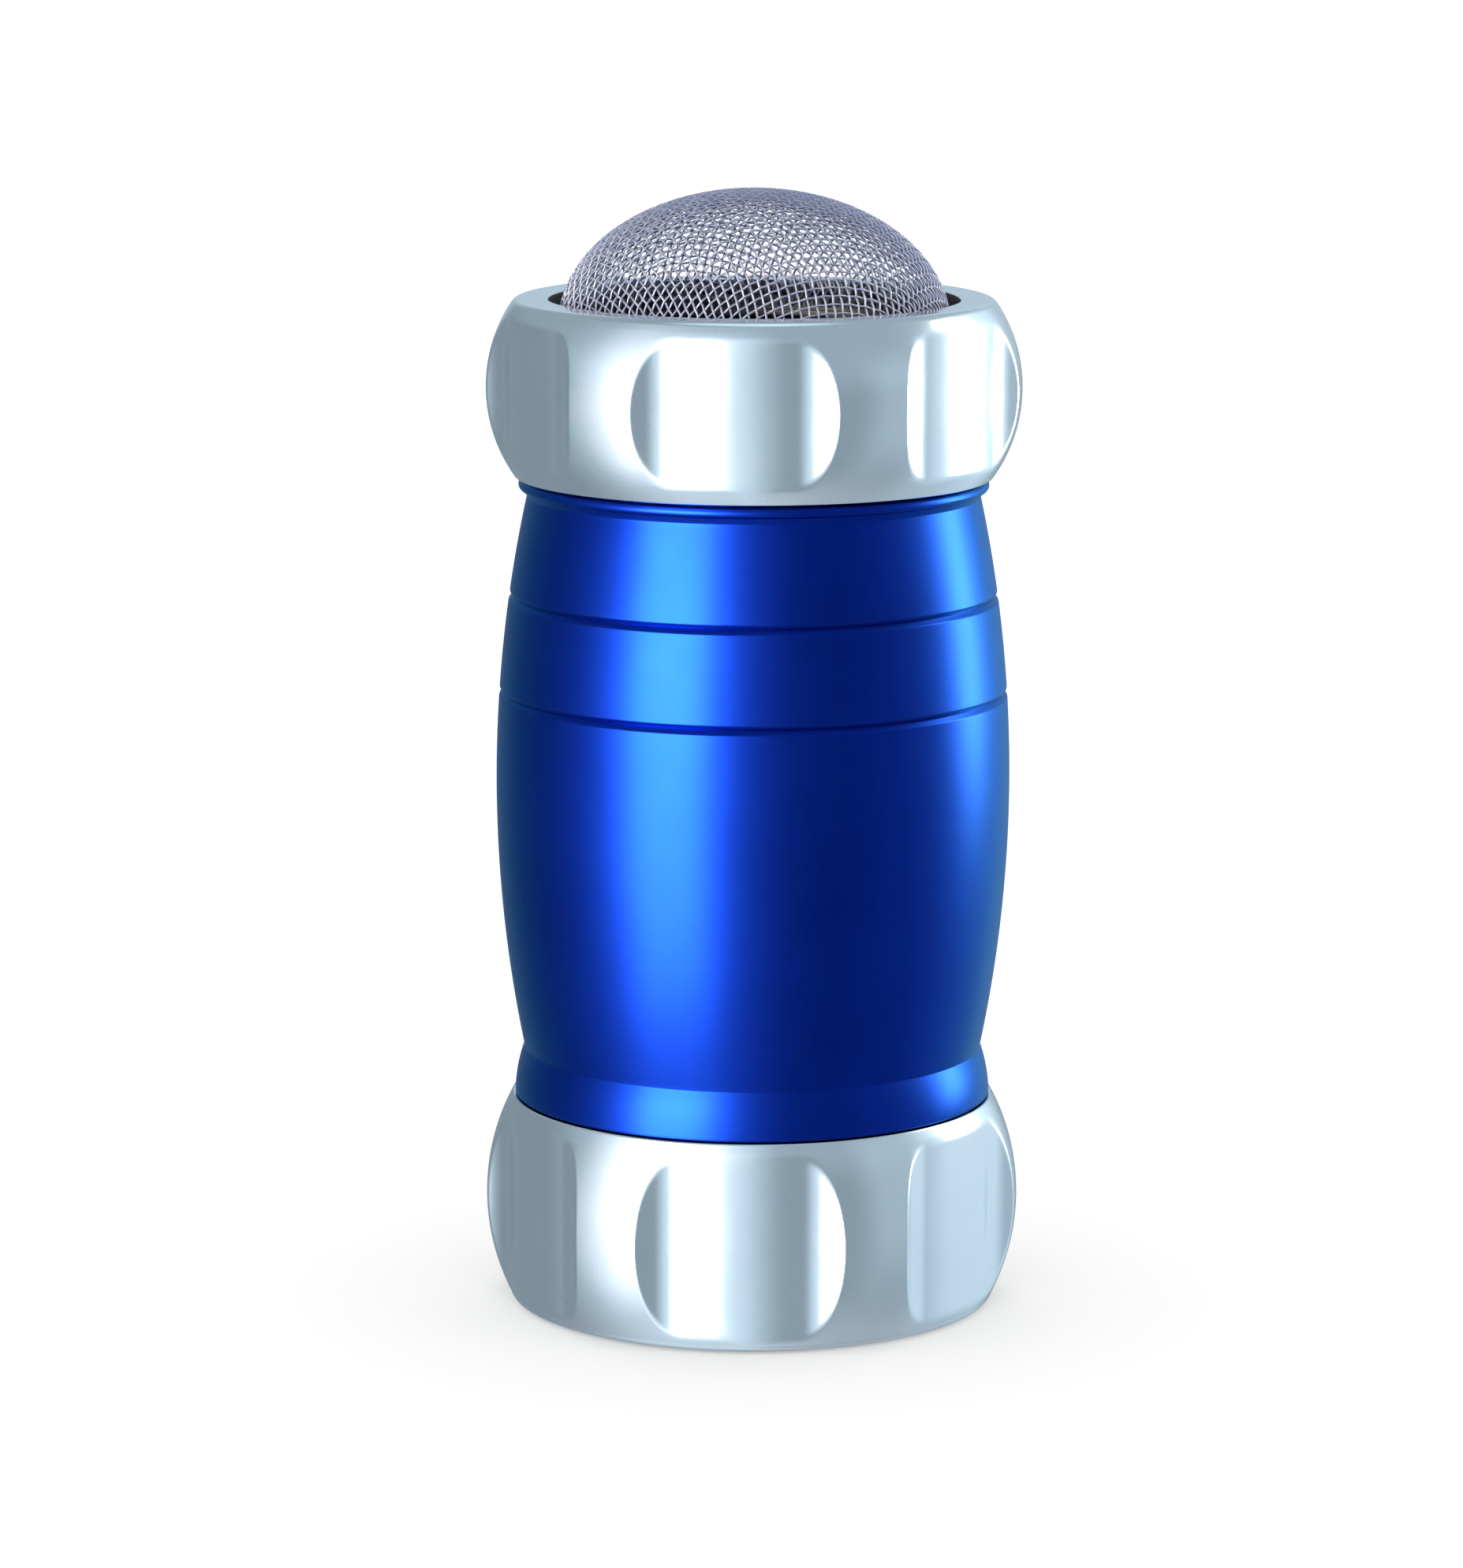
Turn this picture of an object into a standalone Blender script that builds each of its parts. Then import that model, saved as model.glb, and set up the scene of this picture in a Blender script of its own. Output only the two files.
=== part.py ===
"""Powdered sugar shaker: an anodised barrel between a screw-on base cap and a screw ring with a mesh dome.

Units are metres and +Z is up. The origin is the centre of the base cap's underside, where the shaker stands.
-Y is the front, at the middle of one of the base cap's finger grips. Every piece is turned about the Z axis.
"""

import math

import bmesh
import bpy
from mathutils import Matrix, Vector

# What shows, from the table up
BASE_HEIGHT = 0.0247
BARREL_HEIGHT = 0.0734
RING_HEIGHT = 0.0209
DOME_RISE = 0.0128

# Finger grips, alike on the base cap and the ring
GRIP_COUNT = 6
GRIP_RADIUS = 0.03175
GRIP_DEPTH = 0.00235
GRIP_WALL = 0.0032
GRIP_FLOOR_ANGLE = math.radians(27.6)
GRIP_SIDE_ROUND = 0.0080
RING_STOP_ANGLE = math.radians(-2.0)

# Base cap
BASE_FLOOR = 0.0026
BASE_LIP = 0.0024
BASE_FOOT_ROUND = 0.0010
BASE_STAND = 0.0041
BASE_RECESS_DEPTH = 0.0006

# Barrel, with a threaded neck at both ends
BARREL_WALL = 0.0014
NECK_CHAMFER = 0.0005
THREAD_SPACE = 0.0012
WAIST_STEP = 0.0022
SHOULDER_STEP = 0.0019
BARREL_SWELL = 0.0032
FOOT_HEIGHT = 0.0059
FOOT_INSET = 0.0003
BEAD_PROUD = 0.0001
BEAD_THICKNESS = 0.0013
BEAD_VALLEY = 0.0007
GROOVE_LOWER_HEIGHT = 0.0482
GROOVE_UPPER_HEIGHT = 0.0596
GROOVE_WIDTH = 0.0014
GROOVE_DEPTH = 0.00035

# Screw ring
RING_LIP = 0.0019
RING_FLANGE = 0.0018
RING_REACH = 0.0021
RING_TOP_ROUND = 0.0010
RING_OPENING_ROUND = 0.0004

# Mesh dome and the channel that binds its edge
MESH_GAP = 0.00145
WIRE_PITCH = 0.0033
WIRE_THICKNESS = 0.0007
WIRE_TURN = math.radians(27.0)
RIM_SHEET = 0.0004
RIM_FLANGE = 0.0008
RIM_FLOOR = 0.0005
RIM_HEIGHT = 0.0020

# Flat seals
SIEVE_SEAL = 0.0012
BASE_SEAL = 0.0010

# Gap between pieces that touch, and the facets of round pieces
SEAT = 0.0003
SEGMENTS = 54
INNER_SEGMENTS = 42
BULGE_STEPS = 9
LINING_STEPS = 6
GRIP_STEPS = 8
GRIP_SIDE_STEPS = 5
ROUND_STEPS = 3

# Radii that follow, from the grips in to the mesh
GRIP_FLOOR_RADIUS = GRIP_RADIUS - GRIP_DEPTH
CAP_BORE = GRIP_FLOOR_RADIUS - GRIP_WALL
BASE_EDGE_RADIUS = CAP_BORE + BASE_LIP
BASE_RECESS_RADIUS = BASE_EDGE_RADIUS - BASE_FOOT_ROUND - BASE_STAND
RING_EDGE_RADIUS = CAP_BORE + RING_LIP
NECK_RADIUS = CAP_BORE - THREAD_SPACE
NECK_BORE = NECK_RADIUS - BARREL_WALL
WAIST_RADIUS = NECK_RADIUS + WAIST_STEP
SHOULDER_RADIUS = NECK_RADIUS + SHOULDER_STEP
BARREL_RADIUS = WAIST_RADIUS + BARREL_SWELL
FOOT_RADIUS = BASE_EDGE_RADIUS - FOOT_INSET
BEAD_RADIUS = RING_EDGE_RADIUS + BEAD_PROUD
SEAL_RADIUS = CAP_BORE - SEAT
RING_OPENING = CAP_BORE - RING_REACH
DOME_RADIUS = RING_OPENING - MESH_GAP
RIM_SLOT = WIRE_THICKNESS + 2 * SEAT
RIM_RADIUS = DOME_RADIUS + RIM_SLOT / 2 + RIM_SHEET

# Levels that follow, from the table up
BASE_SEAL_LEVEL = BASE_FLOOR + SEAT
NECK_FOOT_LEVEL = BASE_SEAL_LEVEL + BASE_SEAL + SEAT
BARREL_LEVEL = BASE_HEIGHT + SEAT
RING_LEVEL = BARREL_LEVEL + BARREL_HEIGHT + SEAT
RING_TOP_LEVEL = RING_LEVEL + RING_HEIGHT
SIEVE_SEAL_LEVEL = RING_TOP_LEVEL - RING_FLANGE - SEAT - SIEVE_SEAL
RIM_LEVEL = SIEVE_SEAL_LEVEL - SEAT - RIM_FLANGE
NECK_TOP_LEVEL = RIM_LEVEL - SEAT
DOME_LEVEL = RIM_LEVEL + RIM_FLOOR + SEAT + WIRE_THICKNESS / 2
DOME_HEIGHT = RING_TOP_LEVEL + DOME_RISE - WIRE_THICKNESS / 2 - DOME_LEVEL


def arc_through(start, middle, end, steps):
    """Points (radius, height) along the circle through three points, both ends included."""
    (ax, ay), (bx, by), (cx, cy) = start, middle, end
    d = 2 * (ax * (by - cy) + bx * (cy - ay) + cx * (ay - by))
    a2, b2, c2 = ax * ax + ay * ay, bx * bx + by * by, cx * cx + cy * cy
    ux = (a2 * (by - cy) + b2 * (cy - ay) + c2 * (ay - by)) / d
    uy = (a2 * (cx - bx) + b2 * (ax - cx) + c2 * (bx - ax)) / d
    radius = math.hypot(ax - ux, ay - uy)
    first = math.atan2(ay - uy, ax - ux)
    last = math.atan2(cy - uy, cx - ux)
    sweep = math.remainder(last - first, math.tau)
    turns = [first + sweep * i / steps for i in range(steps + 1)]
    return [(ux + radius * math.cos(t), uy + radius * math.sin(t)) for t in turns]


def rounded(profile, rounds):
    """The profile with the corners at the given indices replaced by tangent arcs of the given radii."""
    made = []
    for i, corner in enumerate(profile):
        if i not in rounds:
            made.append(corner)
            continue
        here = Vector(corner)
        back = Vector(profile[i - 1]) - here
        ahead = Vector(profile[(i + 1) % len(profile)]) - here
        half = back.angle(ahead) / 2
        radius = min(rounds[i], 0.45 * min(back.length, ahead.length) * math.tan(half))
        centre = here + (back.normalized() + ahead.normalized()).normalized() * radius / math.sin(half)
        start = here + back.normalized() * radius / math.tan(half) - centre
        end = here + ahead.normalized() * radius / math.tan(half) - centre
        for k in range(ROUND_STEPS + 1):
            made.append(tuple(centre + start.slerp(end, k / ROUND_STEPS).normalized() * radius))
    return made


def metal(name, colour, roughness):
    material = bpy.data.materials.new(name)
    material.use_nodes = True
    shader = material.node_tree.nodes["Principled BSDF"]
    shader.inputs["Base Color"].default_value = (*colour, 1.0)
    shader.inputs["Metallic"].default_value = 1.0
    shader.inputs["Roughness"].default_value = roughness
    return material


def rubber(name, colour, roughness):
    material = metal(name, colour, roughness)
    material.node_tree.nodes["Principled BSDF"].inputs["Metallic"].default_value = 0.0
    return material


def place(name, shape, material, level, axis):
    """A named piece from a bmesh, standing at its level on the shaker's axis."""
    bmesh.ops.remove_doubles(shape, verts=shape.verts, dist=1e-6)
    bmesh.ops.recalc_face_normals(shape, faces=shape.faces)
    mesh = bpy.data.meshes.new(name)
    shape.to_mesh(mesh)
    shape.free()
    mesh.shade_smooth()
    mesh.set_sharp_from_angle(angle=math.radians(30))
    mesh.materials.append(material)
    piece = bpy.data.objects.new(name, mesh)
    piece.location.z = level
    piece.parent = axis
    bpy.context.scene.collection.objects.link(piece)
    return piece


def turned(profile, segments, closed=True):
    """A bmesh of the profile of (radius, height) points, spun once round the Z axis."""
    shape = bmesh.new()
    points = [shape.verts.new((radius, 0.0, height)) for radius, height in profile]
    edges = [shape.edges.new(pair) for pair in zip(points, points[1:])]
    if closed:
        edges.append(shape.edges.new((points[-1], points[0])))
    bmesh.ops.spin(
        shape,
        geom=points + edges,
        cent=(0.0, 0.0, 0.0),
        axis=(0.0, 0.0, 1.0),
        angle=math.tau,
        steps=segments,
        use_merge=True,
    )
    return shape


def grip_outline(height, edge_radius):
    """The bulging side that the finger grips are cut into, from its foot up."""
    return arc_through((edge_radius, 0.0), (GRIP_RADIUS, height / 2), (edge_radius, height), GRIP_STEPS)


def grip_section():
    """Half of a finger grip's outline, from its middle out: a round floor, then a hollow side."""
    # The floor's facets line up with the turned side's own, which keeps the pocket's ends straight
    floor_half = GRIP_FLOOR_ANGLE / 2
    facet = math.tau / SEGMENTS
    between = [(k + 0.5) * facet for k in range(SEGMENTS)]
    turns = [t for t in between if t < floor_half - facet / 20]
    floor = [Vector((math.cos(t), math.sin(t))) * GRIP_FLOOR_RADIUS for t in turns]

    # The side is an arc that leaves the floor smoothly and ends one pocket's depth outside the girth
    far, end = GRIP_FLOOR_RADIUS + GRIP_SIDE_ROUND, GRIP_RADIUS + GRIP_DEPTH
    sweep = math.acos((far**2 + GRIP_SIDE_ROUND**2 - end**2) / (2 * far * GRIP_SIDE_ROUND))
    centre = Vector((math.cos(floor_half), math.sin(floor_half))) * far
    inward = [floor_half + math.pi - sweep * i / GRIP_SIDE_STEPS for i in range(GRIP_SIDE_STEPS + 1)]
    side = [centre + Vector((math.cos(t), math.sin(t))) * GRIP_SIDE_ROUND for t in inward]
    return floor + side


def cut_grips(piece, height, axis):
    """Cuts the finger grips: upright pockets with a round floor and hollow sides, the first one facing -Y."""
    half = [(point.x, point.y) for point in grip_section()]
    half.append((GRIP_RADIUS + half[-1][1], half[-1][1]))
    outline = [(x, -y) for x, y in reversed(half)] + half

    shape = bmesh.new()
    for i in range(GRIP_COUNT):
        spin = Matrix.Rotation(math.tau * i / GRIP_COUNT - math.pi / 2, 4, "Z")
        corners = [shape.verts.new(spin @ Vector((x, y, -height))) for x, y in outline]
        face = shape.faces.new(corners)
        sides = bmesh.ops.extrude_face_region(shape, geom=[face])
        raised = [v for v in sides["geom"] if isinstance(v, bmesh.types.BMVert)]
        bmesh.ops.translate(shape, verts=raised, vec=(0.0, 0.0, 3 * height))
    cutter = place(piece.name + "_grip_cutter", shape, piece.data.materials[0], piece.location.z, axis)
    cutter.rotation_euler = piece.rotation_euler
    cutter.hide_render = True
    cutter.display_type = "WIRE"

    cut = piece.modifiers.new("finger grips", "BOOLEAN")
    cut.operation = "DIFFERENCE"
    cut.solver = "EXACT"
    cut.object = cutter


def build_base_cap(material, axis):
    """A cup with finger grips, a shallow recess underneath and a bore for the barrel's lower neck."""
    side = grip_outline(BASE_HEIGHT, BASE_EDGE_RADIUS)
    profile = [
        (0.0, BASE_RECESS_DEPTH),
        (BASE_RECESS_RADIUS, BASE_RECESS_DEPTH),
        (BASE_RECESS_RADIUS + BASE_RECESS_DEPTH, 0.0),
        *side,
        (CAP_BORE, BASE_HEIGHT),
        (CAP_BORE, BASE_FLOOR),
        (0.0, BASE_FLOOR),
    ]
    profile = rounded(profile, {3: BASE_FOOT_ROUND})
    cap = place("base_cap", turned(profile, SEGMENTS, closed=False), material, 0.0, axis)
    cut_grips(cap, BASE_HEIGHT, axis)


def bulge_profile(inset, steps):
    """The barrel's round side from the waist up to the shoulder, set in by a wall's thickness."""
    top = BARREL_HEIGHT - BEAD_THICKNESS - BEAD_VALLEY
    return arc_through(
        (WAIST_RADIUS - inset, FOOT_HEIGHT),
        (BARREL_RADIUS - inset, (FOOT_HEIGHT + top) / 2),
        (SHOULDER_RADIUS - inset, top),
        steps,
    )


def radius_at(profile, height):
    for (r0, z0), (r1, z1) in zip(profile, profile[1:]):
        if z0 <= height <= z1:
            return r0 + (r1 - r0) * (height - z0) / (z1 - z0)
    raise ValueError("the groove lies off the barrel's side")


def grooved(profile, heights):
    """The profile with a shallow V groove, flat at its bottom, turned into it at each height."""
    made = list(profile)
    for height in heights:
        low, high = height - GROOVE_WIDTH / 2, height + GROOVE_WIDTH / 2
        groove = [(radius_at(profile, low), low)]
        for level in (height - GROOVE_WIDTH / 6, height + GROOVE_WIDTH / 6):
            groove.append((radius_at(profile, level) - GROOVE_DEPTH, level))
        groove.append((radius_at(profile, high), high))
        clear = GROOVE_WIDTH
        made = [p for p in made if abs(p[1] - height) > clear] + groove
    return sorted(made, key=lambda p: p[1])


def build_barrel(material, axis):
    """The hollow body: lower neck, flared foot, grooved bulge, rolled bead and upper neck, open at the ends."""
    outside = grooved(bulge_profile(0.0, BULGE_STEPS), (GROOVE_LOWER_HEIGHT, GROOVE_UPPER_HEIGHT))
    inside = bulge_profile(BARREL_WALL, LINING_STEPS)
    lower_end = NECK_FOOT_LEVEL - BARREL_LEVEL
    upper_end = NECK_TOP_LEVEL - BARREL_LEVEL
    bead = BEAD_THICKNESS / 2
    bead_turns = [math.pi * (i / ROUND_STEPS - 0.5) for i in range(ROUND_STEPS + 1)]
    foot_bulge = (FOOT_RADIUS - (FOOT_RADIUS - WAIST_RADIUS) * 0.3, FOOT_HEIGHT / 2)
    shoulder_drop = SHOULDER_RADIUS - BARREL_WALL - NECK_BORE
    waist_drop = WAIST_RADIUS - BARREL_WALL - NECK_BORE

    profile = [
        (NECK_BORE, lower_end),
        (NECK_RADIUS - NECK_CHAMFER, lower_end),
        (NECK_RADIUS, lower_end + NECK_CHAMFER),
        (NECK_RADIUS, 0.0),
        *arc_through((FOOT_RADIUS, 0.0), foot_bulge, (WAIST_RADIUS, FOOT_HEIGHT), ROUND_STEPS),
        *outside[1:],
        *[
            (BEAD_RADIUS - bead + bead * math.cos(t), BARREL_HEIGHT - bead + bead * math.sin(t))
            for t in bead_turns
        ],
        (NECK_RADIUS, BARREL_HEIGHT),
        (NECK_RADIUS, upper_end - NECK_CHAMFER),
        (NECK_RADIUS - NECK_CHAMFER, upper_end),
        (NECK_BORE, upper_end),
        (NECK_BORE, inside[-1][1] + shoulder_drop),
        *reversed(inside),
        (NECK_BORE, inside[0][1] - waist_drop),
    ]
    place("barrel", turned(profile, SEGMENTS), material, BARREL_LEVEL, axis)


def build_top_ring(material, axis):
    """The screw ring: finger grips outside, a bore for the upper neck, and a flange round the opening."""
    side = grip_outline(RING_HEIGHT, RING_EDGE_RADIUS)
    profile = [
        (CAP_BORE, 0.0),
        *side,
        (RING_OPENING, RING_HEIGHT),
        (RING_OPENING, RING_HEIGHT - RING_FLANGE),
        (CAP_BORE, RING_HEIGHT - RING_FLANGE),
    ]
    top_edge = len(side)
    profile = rounded(profile, {top_edge: RING_TOP_ROUND, top_edge + 1: RING_OPENING_ROUND})
    ring = place("top_ring", turned(profile, SEGMENTS), material, RING_LEVEL, axis)
    ring.rotation_euler.z = RING_STOP_ANGLE
    cut_grips(ring, RING_HEIGHT, axis)


def washer(inner, outer, thickness):
    return [(inner, 0.0), (outer, 0.0), (outer, thickness), (inner, thickness)]


def build_seals(material, axis):
    """Flat washers: one on the base cap's floor under the lower neck, one under the ring's flange."""
    base = turned(washer(NECK_BORE, SEAL_RADIUS, BASE_SEAL), INNER_SEGMENTS)
    place("base_seal", base, material, BASE_SEAL_LEVEL, axis)
    sieve = turned(washer(RIM_RADIUS + SEAT, SEAL_RADIUS, SIEVE_SEAL), INNER_SEGMENTS)
    place("sieve_seal", sieve, material, SIEVE_SEAL_LEVEL, axis)


def build_mesh_rim(material, axis):
    """A folded channel that holds the mesh's edge, with a flange that rests on the upper neck."""
    slot_inner, slot_outer = DOME_RADIUS - RIM_SLOT / 2, DOME_RADIUS + RIM_SLOT / 2
    profile = [
        (slot_inner - RIM_SHEET, 0.0),
        (SEAL_RADIUS, 0.0),
        (SEAL_RADIUS, RIM_FLANGE),
        (RIM_RADIUS, RIM_FLANGE),
        (RIM_RADIUS, RIM_HEIGHT),
        (slot_outer, RIM_HEIGHT),
        (slot_outer, RIM_FLOOR),
        (slot_inner, RIM_FLOOR),
        (slot_inner, RIM_HEIGHT),
        (slot_inner - RIM_SHEET, RIM_HEIGHT),
    ]
    place("mesh_rim", turned(profile, INNER_SEGMENTS), material, RIM_LEVEL, axis)


def dome_meridian(steps):
    """(length from the crown, radius, height) along a quarter of the dome's ellipse."""
    made, length, before = [], 0.0, None
    for i in range(steps + 1):
        turn = math.pi / 2 * i / steps
        point = Vector((DOME_RADIUS * math.sin(turn), DOME_HEIGHT * math.cos(turn)))
        length += (point - before).length if before else 0.0
        made.append((length, point.x, point.y))
        before = point
    return made


def on_dome(point, meridian):
    """Lays a point of the flat mesh on the dome, keeping its distance from the crown along the surface."""
    length = math.hypot(point.x, point.y)
    for (s0, r0, z0), (s1, r1, z1) in zip(meridian, meridian[1:]):
        if length <= s1 or s1 == meridian[-1][0]:
            share = (length - s0) / (s1 - s0)
            radius, height = r0 + (r1 - r0) * share, z0 + (z1 - z0) * share
            scale = radius / length if length else 0.0
            return Vector((point.x * scale, point.y * scale, height))


def build_mesh_dome(material, axis):
    """A square net of wires, cut to a disc and pressed to a dome, with a wire round its edge."""
    meridian = dome_meridian(90)
    flat_radius = meridian[-1][0]
    cells = 2 * math.ceil(flat_radius / WIRE_PITCH)
    shape = bmesh.new()
    bmesh.ops.create_grid(
        shape,
        x_segments=cells,
        y_segments=cells,
        size=cells * WIRE_PITCH / 2,
        matrix=Matrix.Rotation(WIRE_TURN, 4, "Z"),
    )
    for i in range(INNER_SEGMENTS):
        turn = math.tau * (i + 0.5) / INNER_SEGMENTS
        outward = Vector((math.cos(turn), math.sin(turn), 0.0))
        bmesh.ops.bisect_plane(
            shape,
            geom=shape.verts[:] + shape.edges[:] + shape.faces[:],
            plane_co=outward * flat_radius * math.cos(math.pi / INNER_SEGMENTS),
            plane_no=outward,
            clear_outer=True,
        )
    bmesh.ops.remove_doubles(shape, verts=shape.verts, dist=WIRE_THICKNESS)
    for vert in shape.verts:
        vert.co = on_dome(vert.co, meridian)
    dome = place("mesh_dome", shape, material, DOME_LEVEL, axis)
    wires = dome.modifiers.new("wires", "WIREFRAME")
    wires.thickness = WIRE_THICKNESS
    wires.use_boundary = True
    wires.use_even_offset = False


def main():
    for old in list(bpy.data.objects):
        bpy.data.objects.remove(old)
    blue = metal("blue anodised aluminium", (0.010, 0.075, 0.48), 0.28)
    silver = metal("satin aluminium", (0.72, 0.76, 0.78), 0.30)
    steel = metal("stainless wire", (0.55, 0.54, 0.56), 0.35)
    silicone = rubber("seal silicone", (0.62, 0.62, 0.60), 0.60)

    axis = bpy.data.objects.new("shaker_axis", None)
    bpy.context.scene.collection.objects.link(axis)
    build_base_cap(silver, axis)
    build_barrel(blue, axis)
    build_top_ring(silver, axis)
    build_seals(silicone, axis)
    build_mesh_rim(steel, axis)
    build_mesh_dome(steel, axis)


main()
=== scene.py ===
"""Looks of the powdered sugar shaker.

Finely turned metal, screw threads and woven mesh, with a plain studio around them. Units are
metres and +Z is up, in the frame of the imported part. Every piece is built at its place in it.
"""

import math

import bmesh
import bpy
import numpy as np
from mathutils import Matrix, Vector


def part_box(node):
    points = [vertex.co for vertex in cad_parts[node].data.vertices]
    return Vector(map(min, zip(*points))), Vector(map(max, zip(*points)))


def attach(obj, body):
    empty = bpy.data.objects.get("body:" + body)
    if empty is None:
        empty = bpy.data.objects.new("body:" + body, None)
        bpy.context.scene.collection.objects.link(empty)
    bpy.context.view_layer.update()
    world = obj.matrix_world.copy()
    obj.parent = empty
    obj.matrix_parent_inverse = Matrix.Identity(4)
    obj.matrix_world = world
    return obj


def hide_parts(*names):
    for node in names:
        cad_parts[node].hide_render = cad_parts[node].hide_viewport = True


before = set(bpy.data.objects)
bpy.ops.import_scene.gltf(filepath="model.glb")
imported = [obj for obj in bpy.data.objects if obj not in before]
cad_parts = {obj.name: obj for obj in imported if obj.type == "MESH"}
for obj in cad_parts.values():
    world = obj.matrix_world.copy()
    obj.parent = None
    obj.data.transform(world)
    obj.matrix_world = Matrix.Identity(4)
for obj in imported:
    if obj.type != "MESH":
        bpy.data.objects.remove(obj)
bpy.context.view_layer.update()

# Levels and radii that are read from the solids, so that each piece sits where its solid does


def levels(node):
    """Height of a solid's lowest and highest point."""
    low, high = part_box(node)
    return low[2], high[2]


BASE_HEIGHT = levels("base_cap")[1]
NECK_FOOT_LEVEL, NECK_TOP_LEVEL = levels("barrel")
RING_LEVEL, RING_TOP_LEVEL = levels("top_ring")
RING_HEIGHT = RING_TOP_LEVEL - RING_LEVEL
RIM_LEVEL, RIM_TOP_LEVEL = levels("mesh_rim")
MESH_TOP_LEVEL = levels("mesh_dome")[1]
SEAL_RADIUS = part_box("sieve_seal")[1][0]

# Gap between two pieces where one rests on the other
SEAT = 0.0003

# Rounding of an ordinary turned edge
EDGE_ROUND = 0.0002

# Finger grips, alike on the base cap and the ring
GRIP_COUNT = 6
GRIP_RADIUS = 0.03175
GRIP_FLOOR_RADIUS = 0.02940
GRIP_FLOOR_HALF = math.radians(13.5)
GRIP_SIDE_ROUND = 0.0072
GRIP_SIDE_REACH = math.radians(10.5)
GRIP_EDGE_SOFT = 0.00029
GRIP_EDGE_BAND = 0.0006
SIDE_EDGE_HEIGHT = 0.00012
SIDE_EDGE_INSET = 0.0001
FRONT = -math.pi / 2
RING_STOP_ANGLE = math.radians(-1.7)

# Base cap
BASE_EDGE_RADIUS = 0.0286
BASE_RECESS_RADIUS = 0.0235
BASE_RECESS_DEPTH = 0.0006
BASE_FLOOR = 0.0026
BASE_FLOOR_ROUND = 0.0004
BASE_FOOT_HEIGHT = 0.0008
BASE_FOOT_INSET = 0.0005
BASE_FOOT_MIDDLE = (BASE_EDGE_RADIUS + 0.00004, 0.00018)
CAP_BORE = 0.0262

# Barrel
BARREL_LEVEL = BASE_HEIGHT + SEAT
BARREL_WALL = 0.0014
NECK_RADIUS = 0.0250
NECK_BORE = NECK_RADIUS - BARREL_WALL
NECK_CHAMFER = 0.0005
FOOT_RADIUS = 0.0283
FOOT_LIP = 0.0002
FOOT_LIP_WIDTH = 0.0008
FOOT_EDGE_ROUND = 0.00018
FOOT_HOLLOW = 0.3
WAIST_RADIUS = 0.0272
WAIST_LEVEL = BARREL_LEVEL + 0.0055
WAIST_ROUND = 0.00012
BARREL_RADIUS = 0.0304
BEAD_RADIUS = 0.0277
BEAD_TOP_LEVEL = RING_LEVEL - SEAT
BEAD_LEVEL = BEAD_TOP_LEVEL - 0.0013
SHOULDER_RADIUS = 0.0267
SHOULDER_LEVEL = BEAD_LEVEL - 0.0007
SHOULDER_ROUND = 0.0003
LOWER_BORE_LEVEL = WAIST_LEVEL - (WAIST_RADIUS - BARREL_WALL - NECK_BORE)
UPPER_BORE_LEVEL = SHOULDER_LEVEL + (SHOULDER_RADIUS - BARREL_WALL - NECK_BORE)
BORE_ROUND = 0.0006
GROOVE_LEVELS = (BARREL_LEVEL + 0.0482, BARREL_LEVEL + 0.0596)
GROOVE_WIDTH = 0.0011
GROOVE_DEPTH = 0.00042
GROOVE_SOFT = 0.2

# Screw ring
RING_RADIUS = 0.03148
RING_EDGE_RADIUS = 0.0281
RING_OPENING = 0.0241
RING_OPENING_ROUND = 0.0004
RING_FLANGE = 0.0018
RING_SHOULDER = 0.0012
RING_SHOULDER_ROUND = 0.0016
RING_BORE_ROUND = 0.0003

# Seals
SIEVE_SEAL_BORE = 0.0246
SEAL_ROUND = 0.0003

# Threads, right-hand as the couplings of the joints have it. The last four are levels that each
# thread runs between, and THREAD_SUNK is how deep its ridge is sunk in the metal that carries it.
THREAD_PITCH = 0.0025
THREAD_DEPTH = 0.00072
THREAD_ROOT_HALF = 0.00062
THREAD_CREST_HALF = 0.00026
THREAD_CREST_ROUND = 0.00008
THREAD_SUNK = 0.00006
THREAD_RUN_OUT = math.radians(70)
UPPER_NECK_THREAD = (0.1020, 0.1130)
LOWER_NECK_THREAD = (0.0070, 0.0180)
BASE_CAP_THREAD = (0.0120, 0.0225)
TOP_RING_THREAD = (0.0995, 0.1075)

# Folded channel that binds the mesh
RIM_SLOT_INNER = 0.0220
RIM_SLOT_OUTER = 0.0233
RIM_SLOT_FLOOR = 0.0005
RIM_SHEET = 0.0004
RIM_SHEET_ROUND = 0.00018
RIM_FLANGE = 0.0008
RIM_FLANGE_ROUND = 0.0003
RIM_LIP = 0.0009

# Woven mesh. Its foot inside the ring is darkened by painted shade, down to the share of its colour
# set below.
WEAVE_PITCH = 0.00104
WEAVE_WIRE = 0.00025
WEAVE_CRIMP = 0.00010
WEAVE_TURN = math.radians(27.0)
DOME_RADIUS = 0.0228
DOME_FOOT_LEVEL = RIM_LEVEL + 0.00115
DOME_HEIGHT = MESH_TOP_LEVEL - WEAVE_CRIMP - WEAVE_WIRE / 2 - DOME_FOOT_LEVEL
FOOT_PAINTED_SHADE = 0.25
FOOT_PAINTED_SHADE_LEVELS = (RING_TOP_LEVEL - 0.0018, RING_TOP_LEVEL - 0.0003)

# Fineness of the meshes, and the turn between two faces that makes a sharp edge
TURN_STEPS = 288
SEAL_STEPS = 144
RIM_STEPS = 192
THREAD_STEPS = 144
WIRE_SIDES = 6
WIRE_STEPS = 5
SHARP_ANGLE = math.radians(35)
THREAD_SHARP_ANGLE = math.radians(60)

# Small hole that a disc's grid leaves at the axis, which one face closes
AXIS_HOLE = 0.002

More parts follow.
